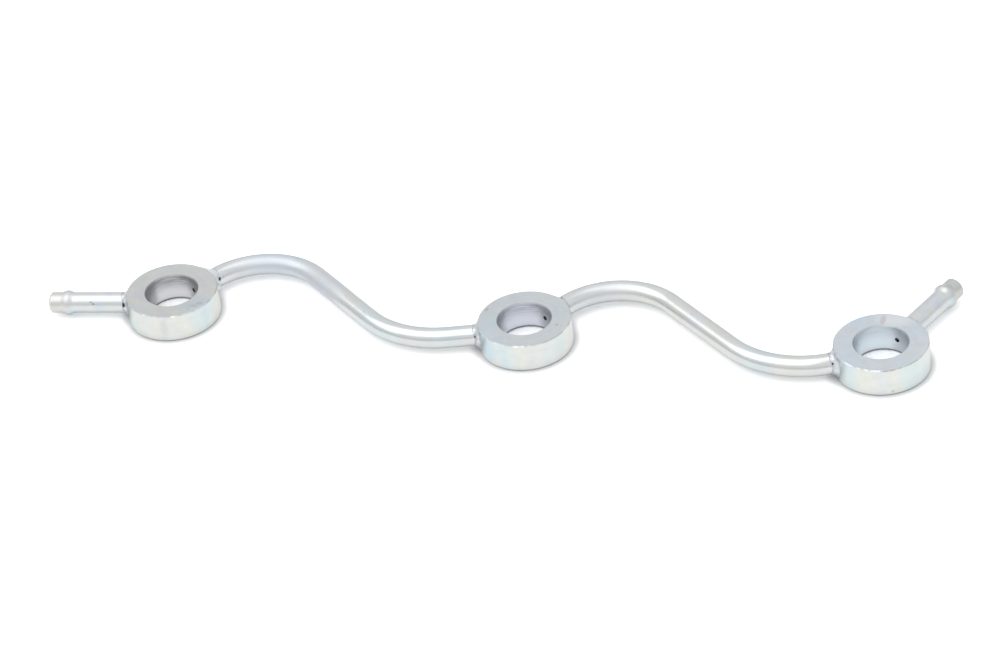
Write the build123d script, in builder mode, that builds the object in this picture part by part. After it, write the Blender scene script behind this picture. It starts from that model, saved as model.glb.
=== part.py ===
from build123d import *
from math import asin, atan2, cos, degrees, radians, sin, sqrt, tan
import os

os.makedirs("parts", exist_ok=True)

# Fuel return pipe: three banjo eyes in a row, two bent tubes that join them, and a hose
# spigot on each end eye. Sizes are in millimetres. The origin is on the middle eye's bore
# axis, half way up it. X runs along the row, Y away from the viewer, and Z along the bores.

# Eyes: the pitches are measured along X, and the end eyes are set back from the middle one
left_pitch = 87.7
right_pitch = 83.9
end_eye_setback = 1.0
eye_bore_d = 12.5
eye_wall = 4.75
eye_height = 7.0
rim_chamfer = 0.2
bore_chamfer = 0.25

# Ports, drilled through the eye wall, and the sockets that the tubes sit in
port_d = 1.2
socket_depth = 2.5
socket_clearance = 0.05

# Tube that the bent pipes and the spigots are cut from
tube_d = 5.0
tube_wall = 1.0

# Bent pipes: angles are in degrees from +X, seen from above, and the straights are measured
# from the edge of the braze
exit_bend_r = 16.8
arrival_bend_r = 22.0
exit_straight = 0.15
left_pipe_exit_angle = 57.0
left_pipe_arrival_angle = 15.1
left_pipe_arrival_straight = 6.1
right_pipe_exit_angle = 57.5
right_pipe_arrival_angle = 23.9
right_pipe_arrival_straight = 0.1

# Share of a full bend that is kept back where the eyes stand too near for both full bends
bend_margin = 0.05

# Hose spigots
left_spigot_angle = 187.0
right_spigot_angle = 66.2
spigot_length = 19.3
bead_height = 0.45
bead_length = 3.0
bead_crest_length = 0.7
bead_blend = 1.2
bead_from_end = 4.4
nose_chamfer = 0.45

# Braze round the foot of each tube
braze_leg = 1.3

bore_r = eye_bore_d / 2
eye_r = bore_r + eye_wall
tube_r = tube_d / 2
socket_floor = eye_r - socket_depth

left_centre = Vector(-left_pitch, end_eye_setback, 0)
middle_centre = Vector(0, 0, 0)
right_centre = Vector(right_pitch, end_eye_setback, 0)


def heading(angle):
    """Unit vector in the pipe's plane, at an angle from +X."""
    return Vector(cos(radians(angle)), sin(radians(angle)), 0)


def plane_facing(centre, angle):
    """Plane across a tube that leaves an eye, at the middle of the eye's bore."""
    return Plane(origin=centre, x_dir=(0, 0, 1), z_dir=heading(angle))


# Banjo eyes
def turned_eye(centre, port_angles):
    """Ring turned from bar, with one port and one socket for each tube."""
    with BuildPart() as eye:
        with BuildSketch(Plane(origin=centre).offset(-eye_height / 2)):
            Circle(eye_r)
            Circle(bore_r, mode=Mode.SUBTRACT)
        extrude(amount=eye_height)
        rims = eye.edges().filter_by(GeomType.CIRCLE).sort_by(SortBy.RADIUS)
        chamfer(rims[:2], length=bore_chamfer)
        chamfer(rims[2:], length=rim_chamfer)
        for angle in port_angles:
            across = plane_facing(centre, angle)
            with BuildSketch(across):
                Circle(port_d / 2)
            extrude(amount=eye_r, mode=Mode.SUBTRACT)
            with BuildSketch(across.offset(socket_floor)):
                Circle(tube_r + socket_clearance)
            extrude(amount=eye_r, mode=Mode.SUBTRACT)
    return eye


left_eye = turned_eye(left_centre, (left_spigot_angle, left_pipe_exit_angle))
left_eye.part.label = "left_eye"
export_step(left_eye.part, "parts/left_eye.step")

middle_eye = turned_eye(middle_centre, (180 + left_pipe_arrival_angle, right_pipe_exit_angle))
middle_eye.part.label = "middle_eye"
export_step(middle_eye.part, "parts/middle_eye.step")

right_eye = turned_eye(right_centre, (180 + right_pipe_arrival_angle, right_spigot_angle))
right_eye.part.label = "right_eye"
export_step(right_eye.part, "parts/right_eye.step")


# Bent pipes
def side(angle):
    """Unit vector a quarter turn to the left of a heading."""
    return heading(angle + 90)


def bend_share(gap, bends):
    """Share of their radii that both bends can have: 1, or less where the eyes stand too near."""
    both = exit_bend_r + arrival_bend_r
    squared = both * both - bends.dot(bends)
    half = gap.dot(bends)
    most = (half + sqrt(half * half + squared * gap.dot(gap))) / squared
    return min(1, most * (1 - bend_margin))


def bent_pipe(start, exit_angle, end, arrival_angle, arrival_straight):
    """Tube between two sockets: straight, bend, crossing run, opposite bend, straight."""
    bend_start = start + heading(exit_angle) * (eye_r + braze_leg + exit_straight)
    bend_end = end - heading(arrival_angle) * (eye_r + braze_leg + arrival_straight)
    bends = side(exit_angle) * exit_bend_r + side(arrival_angle) * arrival_bend_r
    share = bend_share(bend_end - bend_start, bends)
    exit_r = exit_bend_r * share
    arrival_r = arrival_bend_r * share

    # The crossing run is the inner tangent of the two bends' circles
    between = bend_end - bend_start + bends * share
    crossing_angle = degrees(atan2(between.Y, between.X) - asin((exit_r + arrival_r) / between.length))
    exit_corner = exit_r * tan(radians(exit_angle - crossing_angle) / 2)
    arrival_corner = arrival_r * tan(radians(arrival_angle - crossing_angle) / 2)
    with BuildPart() as pipe:
        with BuildLine() as route:
            FilletPolyline(
                start + heading(exit_angle) * socket_floor,
                bend_start + heading(exit_angle) * exit_corner,
                bend_end - heading(arrival_angle) * arrival_corner,
                end - heading(arrival_angle) * socket_floor,
                radius=[exit_r, arrival_r],
            )
        with BuildSketch(plane_facing(start, exit_angle).offset(socket_floor)):
            Circle(tube_r)
            Circle(tube_r - tube_wall, mode=Mode.SUBTRACT)
        sweep(path=route.wire())
    return pipe


left_pipe = bent_pipe(
    left_centre, left_pipe_exit_angle, middle_centre, left_pipe_arrival_angle, left_pipe_arrival_straight
)
left_pipe.part.label = "left_pipe"
export_step(left_pipe.part, "parts/left_pipe.step")

right_pipe = bent_pipe(
    middle_centre, right_pipe_exit_angle, right_centre, right_pipe_arrival_angle, right_pipe_arrival_straight
)
right_pipe.part.label = "right_pipe"
export_step(right_pipe.part, "parts/right_pipe.step")


# Hose spigots
def hose_spigot(centre, angle):
    """Straight tube with a rolled bead near its open end, turned about its own axis."""
    end = eye_r + spigot_length
    crest = end - bead_from_end
    along = Plane(origin=centre, x_dir=heading(angle), z_dir=(0, 0, 1))
    with BuildPart() as spigot:
        with BuildSketch(along):
            with BuildLine():
                outside = FilletPolyline(
                    (socket_floor, tube_r),
                    (crest - bead_length / 2, tube_r),
                    (crest - bead_crest_length / 2, tube_r + bead_height),
                    (crest + bead_crest_length / 2, tube_r + bead_height),
                    (crest + bead_length / 2, tube_r),
                    (end - nose_chamfer, tube_r),
                    radius=bead_blend,
                )
                Polyline(
                    outside @ 1,
                    (end, tube_r - nose_chamfer),
                    (end, tube_r - tube_wall),
                    (socket_floor, tube_r - tube_wall),
                    outside @ 0,
                )
            make_face()
        revolve(axis=Axis(centre, heading(angle)))
    return spigot


left_spigot = hose_spigot(left_centre, left_spigot_angle)
left_spigot.part.label = "left_spigot"
export_step(left_spigot.part, "parts/left_spigot.step")

right_spigot = hose_spigot(right_centre, right_spigot_angle)
right_spigot.part.label = "right_spigot"
export_step(right_spigot.part, "parts/right_spigot.step")


# Brazed joints
def braze_ring(centre, angle):
    """Concave fillet of braze between the eye's wall and one tube, flush below the eye's rims."""
    across = plane_facing(centre, angle)
    with BuildPart() as ring:
        with BuildSketch(Plane(origin=centre).offset(-2 * eye_r)):
            Circle(eye_r)
        extrude(amount=4 * eye_r)
        with BuildSketch(across):
            Circle(tube_r)
        extrude(amount=2 * eye_r)
        foot = ring.edges().filter_by(lambda edge: edge.geom_type == GeomType.BSPLINE)
        fillet(foot, radius=braze_leg)
        with BuildSketch(Plane(origin=centre).offset(-2 * eye_r)):
            Circle(eye_r)
        extrude(amount=4 * eye_r, mode=Mode.SUBTRACT)
        with BuildSketch(across):
            Circle(tube_r)
        extrude(amount=2 * eye_r, mode=Mode.SUBTRACT)
        with BuildSketch(Plane(origin=centre).offset(rim_chamfer - eye_height / 2)):
            Circle(2 * eye_r)
        extrude(amount=eye_height - 2 * rim_chamfer, mode=Mode.INTERSECT)
    return ring


tube_feet = {
    "left_spigot_braze": (left_centre, left_spigot_angle),
    "left_pipe_exit_braze": (left_centre, left_pipe_exit_angle),
    "left_pipe_arrival_braze": (middle_centre, 180 + left_pipe_arrival_angle),
    "right_pipe_exit_braze": (middle_centre, right_pipe_exit_angle),
    "right_pipe_arrival_braze": (right_centre, 180 + right_pipe_arrival_angle),
    "right_spigot_braze": (right_centre, right_spigot_angle),
}
for name, (centre, angle) in tube_feet.items():
    ring = braze_ring(centre, angle)
    ring.part.label = name
    export_step(ring.part, f"parts/{name}.step")
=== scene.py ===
from math import cos, degrees, pi, radians, sin, sqrt

import bmesh
import bpy
from mathutils import Matrix, Vector, noise


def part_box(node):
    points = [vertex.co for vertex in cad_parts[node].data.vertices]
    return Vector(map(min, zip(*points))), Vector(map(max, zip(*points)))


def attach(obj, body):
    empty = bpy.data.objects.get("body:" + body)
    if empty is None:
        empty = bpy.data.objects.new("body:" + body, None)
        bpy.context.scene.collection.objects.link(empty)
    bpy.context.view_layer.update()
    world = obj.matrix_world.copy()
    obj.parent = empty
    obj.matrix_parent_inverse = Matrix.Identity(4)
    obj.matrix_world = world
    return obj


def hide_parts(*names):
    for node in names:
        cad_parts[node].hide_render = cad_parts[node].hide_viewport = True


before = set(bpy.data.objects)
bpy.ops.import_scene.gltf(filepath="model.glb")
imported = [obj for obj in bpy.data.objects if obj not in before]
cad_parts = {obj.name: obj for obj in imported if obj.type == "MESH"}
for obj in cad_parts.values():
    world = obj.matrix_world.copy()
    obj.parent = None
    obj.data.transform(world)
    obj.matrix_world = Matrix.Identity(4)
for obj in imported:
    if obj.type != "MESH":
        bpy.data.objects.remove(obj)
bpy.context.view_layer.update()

bpy.context.scene.view_settings.view_transform = "Standard"

# The studio table: a seamless sheet of matt white paper that the pipe lies on. A share of its white
# in the metal's gloss is its own light, and to the camera it is whiter still, since the photograph
# shows it pure white. Near the things that touch it lies a thin shadow.
table_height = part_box("middle_eye")[0].z
table_reach = 3.0
table_white = 0.97
table_gloss_white = 0.60
table_seen_gain = 0.62

# The thin shadow: how far a thing casts it, in m, and how much of the paper's white it takes away
shadow_reach = 0.0034
shadow_falloff = 1.3
shadow_samples = 8
shadow_in_gloss = 0.95
shadow_seen = 0.95
shadow_seen_most = 0.5

# The camera sees it only in a ring round each banjo eye's foot, and faintly in the bore. The
# ring's edges are in m from the eye's axis
shadow_inner_edge = (0.0062, 0.0068)
shadow_outer_edge = (0.0113, 0.0142)
shadow_in_bore = 0.1


class Reading:
    """One output of a node. Arithmetic on readings adds Math nodes to the same finish."""

    def __init__(self, finish, socket):
        self.finish = finish
        self.socket = socket

    def math(self, operation, *others):
        return self.finish.add("Math", {"operation": operation}, dict(enumerate((self, *others))))

    def __add__(self, other):
        return self.math("ADD", other)

    __radd__ = __add__

    def __sub__(self, other):
        return self.math("SUBTRACT", other)

    def __rsub__(self, other):
        return self.finish.add("Math", {"operation": "SUBTRACT"}, {0: other, 1: self})

    def __mul__(self, other):
        return self.math("MULTIPLY", other)

    __rmul__ = __mul__

    def __pow__(self, other):
        return self.math("POWER", other)


class Finish:
    """The nodes of one surface finish, or of the room's light."""

    def __init__(self, tree):
        self.tree = tree
        tree.nodes.clear()

    def add(self, kind, settings=None, inputs=None, output=0):
        """Add one node: its settings first, then the values or readings of its sockets."""
        node = self.tree.nodes.new("ShaderNode" + kind)
        for name, value in (settings or {}).items():
            if name == "stops":
                stops = node.color_ramp.elements
                while len(stops) < len(value):
                    stops.new(0.5)
                for stop, (place, colour) in zip(stops, value):
                    stop.position = place
                    stop.color = colour
            else:
                setattr(node, name, value)
        for name, value in (inputs or {}).items():
            if isinstance(value, Reading):
                self.tree.links.new(value.socket, node.inputs[name])
            else:
                node.inputs[name].default_value = value
        return Reading(self, node.outputs[output] if node.outputs else None)

    def fade(self, value, start, end):
        """0 up to start, 1 from end on, with a smooth change between."""
        inputs = {"Value": value, "From Min": start, "From Max": end}
        return self.add("MapRange", {"interpolation_type": "SMOOTHSTEP"}, inputs)

    def blend(self, share, first, second, way="MIX"):
        """Mix two colours by a share of the second."""
        inputs = {0: share, 6: first, 7: second}
        return self.add("Mix", {"data_type": "RGBA", "blend_type": way}, inputs, output=2)


def new_finish(name):
    """A new material, and the finish that holds its nodes."""
    material = bpy.data.materials.new(name)
    material.use_nodes = True
    return material, Finish(material.node_tree)


def round_foot(paper, name):
    """1 on the table close round a banjo eye, 0 away from it, and faint in its bore."""
    low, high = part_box(name)
    foot = ((low.x + high.x) / 2, (low.y + high.y) / 2, low.z)
    sheet_place = paper.add("TexCoord", output="Object")
    away = paper.add("VectorMath", {"operation": "DISTANCE"}, {0: sheet_place, 1: foot}, output="Value")
    past_bore = paper.fade(away, *shadow_inner_edge)
    past_ring = paper.fade(away, *shadow_outer_edge)
    return (1 - past_ring) * ((1 - shadow_in_bore) * past_bore + shadow_in_bore)


table_mesh = bpy.data.meshes.new("table")
table_corners = [
    (x * table_reach, y * table_reach, table_height) for x, y in ((-1, -1), (1, -1), (1, 1), (-1, 1))
]
table_mesh.from_pydata(table_corners, [], [(0, 1, 2, 3)])
table = bpy.data.objects.new("table", table_mesh)
bpy.context.scene.collection.objects.link(table)
table_material, paper = new_finish("white_table")
seen = paper.add("LightPath", output="Is Camera Ray")
mirrored = paper.add("LightPath", output="Is Glossy Ray")
passed = paper.add("LightPath", output="Is Transmission Ray")
near_eye = sum(round_foot(paper, name) for name in ("left_eye", "middle_eye", "right_eye"))
openness = paper.add("AmbientOcclusion", {"samples": shadow_samples}, {"Distance": shadow_reach}, output="AO")
shadow = 1 - openness**shadow_falloff
seen_white = 1 - shadow.math("MINIMUM", shadow_seen_most) * near_eye * seen * shadow_seen
matt = paper.add("BsdfDiffuse", inputs={"Color": seen_white * table_white})
glow = paper.add("Emission", inputs={"Color": 1 - shadow * shadow * shadow_in_gloss})
glow_share = mirrored.math("MAXIMUM", passed) * table_gloss_white
in_gloss = paper.add("MixShader", inputs={0: glow_share, 1: matt, 2: glow})
lift = paper.add("BsdfDiffuse", inputs={"Color": seen_white * seen * table_seen_gain})
sheet = paper.add("AddShader", inputs={0: in_gloss, 1: lift})
paper.add("OutputMaterial", inputs={"Surface": sheet})
table_mesh.materials.append(table_material)

# The room: plain pale walls and ceiling, with no window. They are a little darker low down and
# along the floor line, so that the metal has a soft dark to reflect.
wall_tones = [
    (0.0, (0.55, 0.56, 0.57, 1)),
    (0.2, (0.62, 0.63, 0.64, 1)),
    (0.38, (0.74, 0.75, 0.76, 1)),
    (1.0, (0.77, 0.78, 0.79, 1)),
]
room = bpy.data.worlds.new("pale_room")
bpy.context.scene.world = room
room.use_nodes = True
walls = Finish(room.node_tree)
wall_height = walls.add("SeparateXYZ", inputs={0: walls.add("TexCoord", output="Generated")}, output="Z")
wall_tone = walls.add("ValToRGB", {"stops": wall_tones}, {0: wall_height})
wall_light = walls.add("Background", inputs={"Color": wall_tone, "Strength": 1.0})
walls.add("OutputWorld", inputs={"Surface": wall_light})

# The lamp: one large soft box a metre above the table, mostly to the left of the pipe and in front
# of it. Its right edge sets how far to the right the tubes' long highlight runs.
lamp_data = bpy.data.lights.new("soft_box", "AREA")
lamp_data.shape = "RECTANGLE"
lamp_data.size = 1.95
lamp_data.size_y = 1.35
lamp_data.energy = 4.9
lamp = bpy.data.objects.new("soft_box", lamp_data)
lamp.location = (-0.675, -0.33, 1.0)
bpy.context.scene.collection.objects.link(lamp)

# The camera: a long lens, a little to the right of the row and above it, and tipped slightly. Its
# place and its lens were fitted to the outlines of the eyes and the tubes in the photograph.
view_azimuth = radians(19.274)
view_elevation = radians(35.939)
view_roll = radians(-7.358)
view_distance = 0.9264
focal_length = 142.179
sensor_width = 36.0
aim = Vector((-0.0073195, 0.002713, table_height))
towards_camera = Vector(
    (sin(view_azimuth) * cos(view_elevation), -cos(view_azimuth) * cos(view_elevation), sin(view_elevation))
)
level_right = Vector((0, 0, 1)).cross(towards_camera).normalized()
level_up = towards_camera.cross(level_right)
camera_right = cos(view_roll) * level_right + sin(view_roll) * level_up
camera_up = cos(view_roll) * level_up - sin(view_roll) * level_right
camera_turn = Matrix((camera_right, camera_up, towards_camera)).transposed().to_4x4()
camera_data = bpy.data.cameras.new("camera")
camera_data.sensor_width = sensor_width
camera_data.lens = focal_length
camera = bpy.data.objects.new("camera", camera_data)
camera.matrix_world = Matrix.Translation(aim + towards_camera * view_distance) @ camera_turn
bpy.context.scene.collection.objects.link(camera)
bpy.context.scene.camera = camera


# Banjo eyes: rings turned from steel bar and zinc plated after brazing. The clear passivation
# leaves faint bands of blue, green, straw and lilac, and the bores are duller than the faces. The
# upper edges are rubbed bright where the eyes knocked together in the plating barrel, and carry a
# painted highlight as well.
zinc_blue = (0.70, 0.80, 0.90, 1)
zinc_green = (0.76, 0.85, 0.85, 1)
zinc_white = (0.82, 0.83, 0.83, 1)
zinc_straw = (0.85, 0.85, 0.79, 1)
zinc_lilac = (0.80, 0.78, 0.86, 1)
zinc_bands = [
    (0.30, zinc_blue),
    (0.40, zinc_green),
    (0.48, zinc_white),
    (0.56, zinc_straw),
    (0.63, zinc_white),
    (0.72, zinc_lilac),
]
band_width = 10.0
eye_radius = 11.0
eye_top = 3.5
bore_radius = 6.25

# Where one finish gives way to the next. Faces and rims: by how flat the surface lies. The bore: in
# mm from the axis. Painted shade at the feet, streaks, and the rubbing with its painted highlight: in
# mm up from the eye's middle. Rubbed patches: by a soft pattern. Painted shade at the bore's two
# ends: in shares of the bore's radius, along a heading
face_edge = (0.80, 0.95)
rim_edge = (0.15, 0.4)
bore_edge = (bore_radius + 0.35, bore_radius + 0.65)
bore_foot_shade_edge = (0.3 - eye_top, 0.75 - eye_top)
bore_streak_edge = (-1.5, 2.5)
side_foot_shade_edge = (0.1 - eye_top, 0.45 - eye_top)
rubbed_glint_edge = (-1.0, 1.0)
rubbed_glint_patch_edge = (0.46, 0.58)
bore_end_shade_edge = (0.62, 1.0)

# The painted shade, the grey rims and the rubbed edges with their painted highlight: a colour, and the share
# of it where it is strongest
bore_end_shade_colour = (0.30, 0.30, 0.31, 1)
bore_foot_shade_colour, bore_foot_shade_share = (0.20, 0.21, 0.23, 1), 0.85
side_foot_shade_colour, side_foot_shade_share = (0.22, 0.22, 0.21, 1), 0.7
rim_grey, rim_share = (0.45, 0.46, 0.47, 1), 0.45
rubbed_glint_colour, rubbed_glint_share = (0.95, 0.96, 0.96, 1), 0.75

# A mark fades out between these parts of its reach, and its ragged edge wanders by a part of it
mark_edge = (0.35, 1.1)
mark_raggedness = 0.9
mark_depth = 0.6

# Headings are in degrees from the row's direction. A mark has its place from the eye's middle and
# its reach, both in mm, its colour, and how strong it is
eyes = {
    "left_eye": {
        "face": (0.90, 0.905, 0.90, 1), "side": (1.02, 1.03, 1.005, 1), "bore": (0.85, 0.85, 0.88, 1),
        "bore_streaks": 0.34, "bore_top_shade": 0.36, "bore_end_shade_headings": (192, 30), "bore_end_shade_share": 0.85,
        "marks": [
            ((8.5, -4.3, eye_top), (1.1, 0.7, 0.5), (0.52, 0.51, 0.53, 1), 0.55),
            ((7.4, -5.4, eye_top), (1.3, 0.7, 0.5), (0.54, 0.53, 0.55, 1), 0.5),
            ((6.53, -6.87, eye_top), (0.5, 0.4, 0.5), (0.52, 0.52, 0.54, 1), 0.5),
            ((1.25, -10.93, 0.4), (1.3, 1.2, 2.8), (0.70, 0.69, 0.60, 1), 0.42),
        ],
    },
    "middle_eye": {
        "face": (0.90, 0.935, 0.97, 1), "side": (1.04, 1.05, 1.04, 1), "bore": (0.83, 0.86, 0.95, 1),
        "bore_streaks": 0.26, "bore_top_shade": 0.2, "bore_end_shade_headings": (196, 34), "bore_end_shade_share": 0.65,
        "marks": [
            ((8.22, -1.47, eye_top), (0.4, 0.3, 0.5), (0.42, 0.42, 0.44, 1), 0.8),
            ((-9.69, 2.32, eye_top), (0.5, 1.0, 0.5), (0.52, 0.50, 0.50, 1), 0.6),
            ((-7.2, -8.3, 0.4), (4.4, 4.4, 4.2), (0.66, 0.84, 0.95, 1), 0.7),
            ((9.6, -5.2, 0.5), (3.0, 3.6, 3.4), (0.74, 0.86, 0.90, 1), 0.5),
        ],
    },
    "right_eye": {
        "face": (0.94, 0.98, 1.04, 1), "side": (1.06, 1.08, 1.05, 1), "bore": (0.85, 0.94, 1.0, 1),
        "bore_streaks": 0.10, "bore_top_shade": 0.12, "bore_end_shade_headings": (200, 36), "bore_end_shade_share": 0.5,
        "marks": [
            ((1.5, 8.6, eye_top), (5.0, 2.8, 0.8), (1.02, 1.03, 1.05, 1), 0.5),
            ((-7.5, -8.0, 0.8), (3.6, 3.6, 3.6), (0.76, 0.88, 0.93, 1), 0.45),
            ((-1.07, 8.29, eye_top), (0.9, 2.3, 0.5), (0.62, 0.54, 0.58, 1), 0.5),
            ((2.9, -10.6, 3.26), (1.2, 0.5, 0.16), (0.36, 0.38, 0.40, 1), 0.8),
            ((4.4, -10.1, 3.26), (1.2, 0.5, 0.16), (0.38, 0.40, 0.42, 1), 0.7),
            ((4.33, -10.11, -2.5), (0.5, 0.5, 0.5), (0.55, 0.56, 0.56, 1), 0.6),
        ],
    },
}


def millimetres_from(finish, centre):
    """Where a point lies from a centre given in m, in mm."""
    shift = tuple(-1000 * part for part in centre)
    inputs = {0: finish.add("TexCoord", output="Object"), 1: (1000, 1000, 1000), 2: shift}
    return finish.add("VectorMath", {"operation": "MULTIPLY_ADD"}, inputs)


def axes(finish, place):
    """The X, Y and Z of a place, each as a reading."""
    return [finish.add("SeparateXYZ", inputs={0: place}, output=axis) for axis in "XYZ"]


def tool_path(finish, across, along, apart):
    """A place for a pattern whose lines follow a tool: fine across them, and long along them."""
    return finish.add("CombineXYZ", inputs={0: across, 1: along, 2: apart})


def patches(finish, place, scale, detail, roughness):
    """Soft patches between 0 and 1: how many to a mm, and how much finer grain they hold."""
    inputs = {"Vector": place, "Scale": scale, "Detail": detail, "Roughness": roughness}
    return finish.add("TexNoise", inputs=inputs)


def plating(finish, place, patch_size, strength):
    """Zinc's pale colour, with its tints in patches of a given size in mm."""
    drift = patches(finish, place, scale=1 / patch_size, detail=2.0, roughness=0.5)
    return finish.blend(strength, zinc_white, finish.add("ValToRGB", {"stops": zinc_bands}, {0: drift}))


def toned(finish, colour, tone):
    """A colour made darker or lighter by a tone round 1."""
    grey = finish.add("CombineColor", inputs={0: tone, 1: tone, 2: tone})
    return finish.blend(1.0, colour, grey, "MULTIPLY")


def mark(finish, own, spot, size, raggedness):
    """A mark's mask: 1 in an ellipsoid with ragged edges, and 0 outside."""
    away = finish.add("VectorMath", {"operation": "SUBTRACT"}, {0: own, 1: spot})
    scaled = finish.add("VectorMath", {"operation": "DIVIDE"}, {0: away, 1: size})
    reach = finish.add("VectorMath", {"operation": "LENGTH"}, {0: scaled}, output="Value")
    ragged = patches(finish, own, scale=2.6, detail=3.0, roughness=0.6)
    return 1 - finish.fade(reach + (ragged - 0.5) * raggedness, *mark_edge)


def plated_steel(finish, colour, roughness, relief, relief_depth, relief_share):
    """The whole surface: bright plated metal with a fine relief, whose depth is in m."""
    bump_inputs = {"Strength": relief_share, "Distance": relief_depth, "Height": relief}
    bump = finish.add("Bump", inputs=bump_inputs)
    metal_inputs = {"Base Color": colour, "Metallic": 1.0, "Roughness": roughness, "Normal": bump}
    metal = finish.add("BsdfPrincipled", inputs=metal_inputs)
    finish.add("OutputMaterial", inputs={"Surface": metal})


for name, look in eyes.items():
    low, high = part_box(name)
    eye_material, turned = new_finish("zinc_" + name)
    place = millimetres_from(turned, (0, 0, 0))
    own = millimetres_from(turned, (low + high) / 2)
    across, back, up = axes(turned, own)
    radius = (across * across + back * back) ** 0.5
    turn = back.math("ARCTAN2", across)
    facing = axes(turned, turned.add("NewGeometry", output="Normal"))[2].math("ABSOLUTE")
    face = turned.fade(facing, *face_edge)
    rim = turned.fade(facing, *rim_edge) - face
    bore = (1 - face) * (1 - turned.fade(radius, *bore_edge))
    side = (1 - face) * (1 - bore)

    # Tool marks run round the eye: rings on its faces, and lines round its side and its bore.
    # Clouds follow the whole pipe, so that no two eyes wear alike
    cut = radius * face + up * (1 - face)
    cut_path = tool_path(turned, cut, turn * 0.35, face * 3.0)
    fine_cuts = patches(turned, cut_path, scale=5.5, detail=4.0, roughness=0.7)
    wide_cuts = patches(turned, cut_path, scale=1.3, detail=2.0, roughness=0.5)
    clouds = patches(turned, place, scale=0.45, detail=4.0, roughness=0.6)
    grit = patches(turned, own, scale=7.0, detail=3.0, roughness=0.6)

    # The plating's tints lie in upright bands on the side, and in clouds on the faces
    band_place = turned.add("VectorMath", {"operation": "MULTIPLY"}, {0: place, 1: (1.0, 1.0, 0.25)})
    colour = plating(turned, band_place, patch_size=band_width, strength=0.75 - face * 0.25)
    cast = turned.blend(face + rim * 0.5, look["side"], look["face"])
    colour = turned.blend(1.0, colour, cast, "MULTIPLY")
    colour = toned(turned, colour, (clouds - 0.5) * 0.18 + (wide_cuts - 0.5) * (0.05 + face * 0.07) + 1.0)

    # The bore is duller. It is streaked towards its top and has painted shade there, painted shade
    # at two of its ends, and a painted shadow along its foot
    streak_path = tool_path(turned, up * 2.2, turn * 1.1, 0.0)
    streaks = patches(turned, streak_path, scale=1.6, detail=2.0, roughness=0.5)
    high_up = turned.fade(up, *bore_streak_edge)
    # Painted shade: the bore is darker towards its top
    bore_tone = 1.0 + (streaks - 0.5) * high_up * (look["bore_streaks"] * 3) - high_up * look["bore_top_shade"]
    bore_colour = toned(turned, look["bore"], bore_tone)
    # Painted shade at two ends of the bore, one for each heading
    for heading in look["bore_end_shade_headings"]:
        towards = (across * cos(radians(heading)) + back * sin(radians(heading))) * (1 / bore_radius)
        bore_end_shade = turned.fade(towards + (clouds - 0.5) * 0.25, *bore_end_shade_edge) * look["bore_end_shade_share"]
        bore_colour = turned.blend(bore_end_shade, bore_colour, bore_end_shade_colour)
    colour = turned.blend(bore, colour, bore_colour)
    # Painted shadow along the bore's foot
    bore_foot_shade = bore * (1 - turned.fade(up, *bore_foot_shade_edge)) * bore_foot_shade_share
    colour = turned.blend(bore_foot_shade, colour, bore_foot_shade_colour)

    # The rims are grey, the side has a painted shadow along its foot, and the upper edges are rubbed
    # bright, with a painted highlight on them
    colour = turned.blend(rim * rim_share, colour, rim_grey)
    # Painted shadow along the side's foot
    side_foot_shade = side * (1 - turned.fade(up, *side_foot_shade_edge))
    colour = turned.blend(side_foot_shade * side_foot_shade_share, colour, side_foot_shade_colour)
    # Rubbed wear on the upper rims, with a painted highlight
    rubbed_and_glint = rim * (1 - bore) * turned.fade(clouds, *rubbed_glint_patch_edge) * turned.fade(up, *rubbed_glint_edge)
    colour = turned.blend(rubbed_and_glint * rubbed_glint_share, colour, rubbed_glint_colour)

    # Each mark stains the surface and dents it a little
    dents = []
    for spot, size, stain, strength in look["marks"]:
        dents.append(mark(turned, own, spot, size, mark_raggedness) * strength)
        colour = turned.blend(dents[-1], colour, stain)
    dullness = face * 0.04 + bore * 0.08 + rim * 0.15 + bore_foot_shade * 0.3 - rubbed_and_glint * 0.2
    roughness = 0.30 + (grit - 0.5) * 0.14 + dullness
    relief = fine_cuts * 0.6 + grit * 0.35 - sum(dents) * mark_depth
    plated_steel(turned, colour, roughness, relief, relief_depth=0.00003, relief_share=0.35)
    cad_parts[name].material_slots[0].material = eye_material

# Bent pipes: drawn steel tube, bent and plated. Die lines run along it, its wall waves a little
# from the bending, and small pits and specks show in the plating.
dull_shade_colour, dull_shade_share = (0.71, 0.74, 0.80, 1), 0.7
speck_grey, speck_share = (0.50, 0.52, 0.55, 1), 0.5
speck_edge = (0.70, 0.76)

# Dull patches, rougher, and painted darker as shade where the tube catches no highlight: their
# place and reach, both in mm, and how strong they are
dull_shade_places = [
    ((-54.0, 9.5, 0), (12.0, 9.0, 9.0), 1.0),
    ((-71.0, 22.0, 0), (20.0, 12.0, 9.0), 0.8),
    ((12.0, 22.0, 0), (17.0, 13.0, 9.0), 0.6),
]
pipe_material, drawn = new_finish("zinc_pipe")
place = millimetres_from(drawn, (0, 0, 0))
along, aside, level = axes(drawn, place)
die_path = tool_path(drawn, level * 3.0, along * 0.04, aside * 0.04)
die_lines = patches(drawn, die_path, scale=1.8, detail=3.0, roughness=0.6)
waves = patches(drawn, place, scale=0.32, detail=2.0, roughness=0.5)
grit = patches(drawn, place, scale=4.0, detail=4.0, roughness=0.65)
speckle = patches(drawn, place, scale=1.1, detail=2.0, roughness=0.6)
specks = drawn.fade(speckle, *speck_edge)
dull_and_shaded = sum(
    mark(drawn, place, spot, reach, raggedness=0.5) * strength for spot, reach, strength in dull_shade_places
)
colour = plating(drawn, place, patch_size=24.0, strength=0.6)
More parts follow.
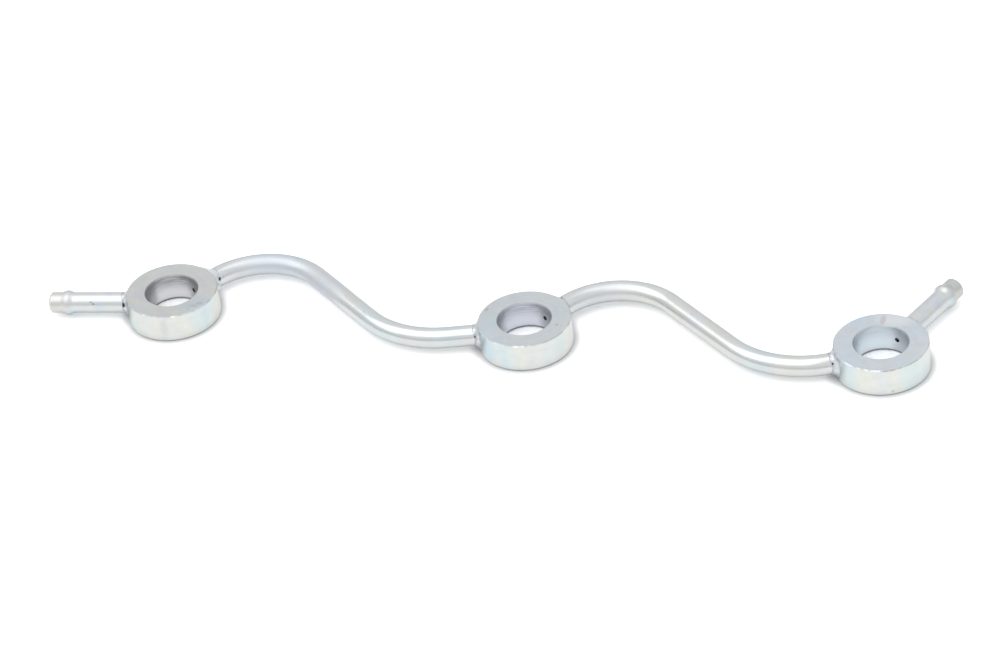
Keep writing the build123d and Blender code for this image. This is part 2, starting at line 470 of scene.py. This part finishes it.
# Painted shade: the dull patches are darker where the tube catches no highlight
colour = drawn.blend(dull_and_shaded * dull_shade_share, colour, dull_shade_colour)
colour = toned(drawn, colour, (die_lines - 0.5) * 0.10 + (waves - 0.5) * 0.08 + 1.0)
colour = drawn.blend(specks * speck_share, colour, speck_grey)
roughness = 0.23 + (grit - 0.5) * 0.12 + dull_and_shaded * 0.38
relief = waves + die_lines * 0.25 + grit * 0.12 - specks * 0.3
plated_steel(drawn, colour, roughness, relief, relief_depth=0.0001, relief_share=0.4)
for name in ("left_pipe", "right_pipe"):
    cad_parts[name].material_slots[0].material = pipe_material

# Hose spigots: short tubes of the same steel with a rolled bead, brazed into the end eyes. The
# nose in front of the bead is warmer and duller than the tube behind it, from the rolling tool.
eye_centres = {name: (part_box(name)[0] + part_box(name)[1]) / 2 for name in eyes}
left_spigot_heading = 187.0
right_spigot_heading = 66.2
bead_distance = eye_radius + 14.9
nose_edge = (bead_distance - 1.6, bead_distance + 0.6)

# Here a mark's place is in mm from the middle eye
spigots = {
    "left_spigot": {
        "eye": "left_eye", "heading": left_spigot_heading,
        "tube": (0.97, 1.0, 1.03, 1), "nose": (0.81, 0.80, 0.78, 1),
        "marks": [
            ((-106.5, -3.55, 1.1), (0.34, 0.5, 0.24), (0.20, 0.21, 0.23, 1), 0.8),
            ((-107.05, -3.4, 1.45), (0.55, 0.5, 0.22), (0.36, 0.37, 0.40, 1), 0.7),
        ],
    },
    "right_spigot": {
        "eye": "right_eye", "heading": right_spigot_heading,
        "tube": (0.96, 0.99, 1.03, 1), "nose": (0.70, 0.71, 0.69, 1),
        "marks": [],
    },
}


def compass(heading):
    """Unit vector in the pipe's plane, at a heading in degrees."""
    return Vector((cos(radians(heading)), sin(radians(heading)), 0))


for name, look in spigots.items():
    spigot_material, rolled = new_finish("zinc_" + name)
    place = millimetres_from(rolled, (0, 0, 0))
    own = millimetres_from(rolled, eye_centres[look["eye"]])
    ahead = compass(look["heading"])
    distance = rolled.add("VectorMath", {"operation": "DOT_PRODUCT"}, {0: own, 1: ahead}, output="Value")
    nose = rolled.fade(distance, *nose_edge)
    clouds = patches(rolled, own, scale=0.5, detail=4.0, roughness=0.6)
    waves = patches(rolled, own, scale=0.35, detail=1.0, roughness=0.5)
    grit = patches(rolled, own, scale=3.2, detail=2.0, roughness=0.5)
    line_path = tool_path(rolled, axes(rolled, own)[2] * 2.4, distance * 0.12, nose * 4.0)
    lines = patches(rolled, line_path, scale=2.0, detail=3.0, roughness=0.6)
    colour = plating(rolled, own, patch_size=6.0, strength=0.9)
    colour = rolled.blend(1.0, colour, look["tube"], "MULTIPLY")
    colour = rolled.blend(nose, colour, look["nose"])
    colour = toned(rolled, colour, (clouds - 0.5) * 0.14 + (lines - 0.5) * 0.12 + 1.0)
    for spot, size, stain, strength in look["marks"]:
        colour = rolled.blend(mark(rolled, place, spot, size, mark_raggedness) * strength, colour, stain)
    roughness = 0.34 + nose * 0.08 + (grit - 0.5) * 0.10
    relief = waves + lines * 0.12 + grit * 0.03
    plated_steel(rolled, colour, roughness, relief, relief_depth=0.00006, relief_share=0.35)
    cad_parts[name].material_slots[0].material = spigot_material

# Brazed joints: a concave ring of braze at each tube's foot, run in with a torch and plated over,
# so it is lumpy, with small beads and pits. Each stands for the plain ring of the solid model.
# Sizes are in mm.
tube_radius = 2.5
braze_leg = 1.3
braze_leg_sway = 0.28
braze_top = eye_top - 0.22
braze_sink = 0.12
braze_steps = 120
braze_rows = 12
lump_height = 0.05
bead_rise = 0.6
braze_dull = (0.62, 0.68, 0.73, 1)
braze_pale = (0.84, 0.87, 0.90, 1)
braze_pale_edge = (0.35, 0.6)
braze_bright = (0.94, 0.96, 1.0, 1)
groove_dark = (0.30, 0.32, 0.35, 1)
groove_width = 0.24
grain_pit_edge = (0.66, 0.76)
pit_black = (0.06, 0.065, 0.07, 1)
pit_spread = 1.5
pit_from_tube = 0.06
pit_from_wall = 0.8 * braze_leg

# The ring's legs are spread by a factor, and shine and groove are shares of their colours. A pit
# or a bead has its turn round the tube, in degrees from the top, and its size
brazes = {
    "left_spigot_braze": {
        "eye": "left_eye", "heading": left_spigot_heading, "spread": 1.05, "shine": 0.3, "groove": 0.4,
        "pits": [(70, 0.5)], "beads": [(40, 0.5)],
    },
    "left_pipe_exit_braze": {
        "eye": "left_eye", "heading": 57.0, "spread": 1.7, "shine": 1.0, "groove": 0.05,
        "pits": [(292, 0.40)], "beads": [(262, 0.9), (315, 1.1)],
    },
    "left_pipe_arrival_braze": {
        "eye": "middle_eye", "heading": 195.1, "spread": 1.0, "shine": 0.25, "groove": 0.35,
        "pits": [(65, 0.26)], "beads": [],
    },
    "right_pipe_exit_braze": {
        "eye": "middle_eye", "heading": 57.5, "spread": 1.0, "shine": 0.2, "groove": 0.2,
        "pits": [(4, 0.18)], "beads": [],
    },
    "right_pipe_arrival_braze": {
        "eye": "right_eye", "heading": 203.9, "spread": 1.0, "shine": 0.25, "groove": 0.35,
        "pits": [(58, 0.24)], "beads": [],
    },
    "right_spigot_braze": {
        "eye": "right_eye", "heading": right_spigot_heading, "spread": 1.0, "shine": 0.3, "groove": 0.1,
        "pits": [], "beads": [],
    },
}


def outward_at(ahead, turn):
    """Unit vector from the tube's axis, turned from the top towards the tube's left."""
    left = Vector((-ahead.y, ahead.x, 0))
    return left * sin(turn) + Vector((0, 0, 1)) * cos(turn)


def wall_at(from_axis, turn):
    """How far ahead the eye's round wall is, for a point beside the tube's axis."""
    return sqrt(eye_radius**2 - (from_axis * sin(turn)) ** 2)


def braze_finish(name, look):
    """The melted look: bright lumps, a dark groove along both edges, and black pits."""
    braze_material, melted = new_finish("zinc_" + name)
    own = millimetres_from(melted, eye_centres[look["eye"]])
    ahead = compass(look["heading"])
    across, back, up = axes(melted, own)
    sideways = back * ahead.x - across * ahead.y
    from_tube = (sideways * sideways + up * up) ** 0.5 - tube_radius
    from_wall = (across * across + back * back) ** 0.5 - eye_radius
    lumps = patches(melted, own, scale=1.1, detail=4.0, roughness=0.6)
    grit = patches(melted, own, scale=4.5, detail=4.0, roughness=0.65)
    colour = melted.blend(melted.fade(lumps, *braze_pale_edge), braze_dull, braze_pale)
    colour = melted.blend(look["shine"], colour, braze_bright)
    from_edge = (from_tube * 1.6).math("MINIMUM", from_wall) + (lumps - 0.5) * 0.8
    groove = 1 - melted.fade(from_edge, 0.0, groove_width)
    colour = melted.blend(groove * look["groove"], colour, groove_dark)
    pits = melted.fade(grit, *grain_pit_edge) * 0.5
    for pit_turn, pit_size in look["pits"]:
        turn = radians(pit_turn)
        distance = wall_at(tube_radius, turn) + pit_from_wall * look["spread"]
        pit_spot = ahead * distance + outward_at(ahead, turn) * (tube_radius + pit_from_tube)
        pit_reach = (pit_size * pit_spread,) * 3
        pits = pits.math("MAXIMUM", mark(melted, own, pit_spot, pit_reach, raggedness=0.7))
    colour = melted.blend(pits, colour, pit_black)
    roughness = 0.38 + (grit - 0.5) * 0.24 + pits * 0.3
    relief = lumps + grit * 0.4 - pits
    plated_steel(melted, colour, roughness, relief, relief_depth=0.0001, relief_share=0.5)
    return braze_material


def braze_hollow(leg, turn):
    """Each row of the ring's hollow front: its bend, its rise from the tube, its run from the wall."""
    room_up = braze_top / max(abs(cos(turn)), 0.01) - tube_radius
    bends = [pi / 2 * row / braze_rows for row in range(braze_rows + 1)]
    return [(bend, min(leg * (1 - cos(bend)), room_up), leg * (1 - sin(bend))) for bend in bends]


def braze_lump(number, look, point, bend, leg, turn):
    """How far lumps and beads push a point of the hollow. A ring's number gives it its own lumps."""
    lump = noise.fractal(point * 1.3 + Vector((11 * number, 0, 0)), 0.6, 2.0, 3) * lump_height
    for bead_turn, bead_size in look["beads"]:
        apart = (degrees(turn) - bead_turn + 180) % 360 - 180
        gap = sqrt((leg * (bend - pi / 4)) ** 2 + (tube_radius * radians(apart)) ** 2)
        lump += bead_rise * bead_size * max(0, 1 - (gap / bead_size) ** 2)
    return lump


def braze_section(number, look, turn):
    """One section of the ring: its hollow front, and a back that is sunk in wall and tube."""
    ahead = compass(look["heading"])
    outward = outward_at(ahead, turn)
    sway = noise.noise(Vector((2 * cos(turn), 2 * sin(turn), 3.7 * number)))
    leg = braze_leg * look["spread"] * (1 + braze_leg_sway * sway)
    hollow = braze_hollow(leg, turn)
    section = []
    for row, (bend, rise, run) in enumerate(hollow):
        from_axis = tube_radius + rise
        point = ahead * (wall_at(from_axis, turn) + run) + outward * from_axis
        if 0 < row < braze_rows:
            push = (outward * cos(bend) + ahead * sin(bend)) * 0.7 + (outward + ahead) * 0.2
            point += push * braze_lump(number, look, point, bend, leg, turn)
        section.append(point)
    top_rise = hollow[-1][1]
    for rise in (top_rise, -braze_sink):
        from_axis = tube_radius + rise
        section.append(ahead * (wall_at(from_axis, turn) - braze_sink) + outward * from_axis)
    return [eye_centres[look["eye"]] + point / 1000 for point in section]


for number, (name, look) in enumerate(brazes.items()):
    mesh = bmesh.new()
    turns = [2 * pi * step / braze_steps for step in range(braze_steps)]
    ring = [[mesh.verts.new(point) for point in braze_section(number, look, turn)] for turn in turns]
    for step, section in enumerate(ring):
        after = ring[(step + 1) % braze_steps]
        for row in range(len(section)):
            following = (row + 1) % len(section)
            mesh.faces.new((section[row], section[following], after[following], after[row]))
    bmesh.ops.recalc_face_normals(mesh, faces=mesh.faces)
    braze_mesh = bpy.data.meshes.new(name + "_melted")
    mesh.to_mesh(braze_mesh)
    mesh.free()
    braze_mesh.shade_smooth()
    braze_mesh.materials.append(braze_finish(name, look))
    braze = bpy.data.objects.new(name + "_melted", braze_mesh)
    bpy.context.scene.collection.objects.link(braze)
    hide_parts(name)
    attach(braze, "root")
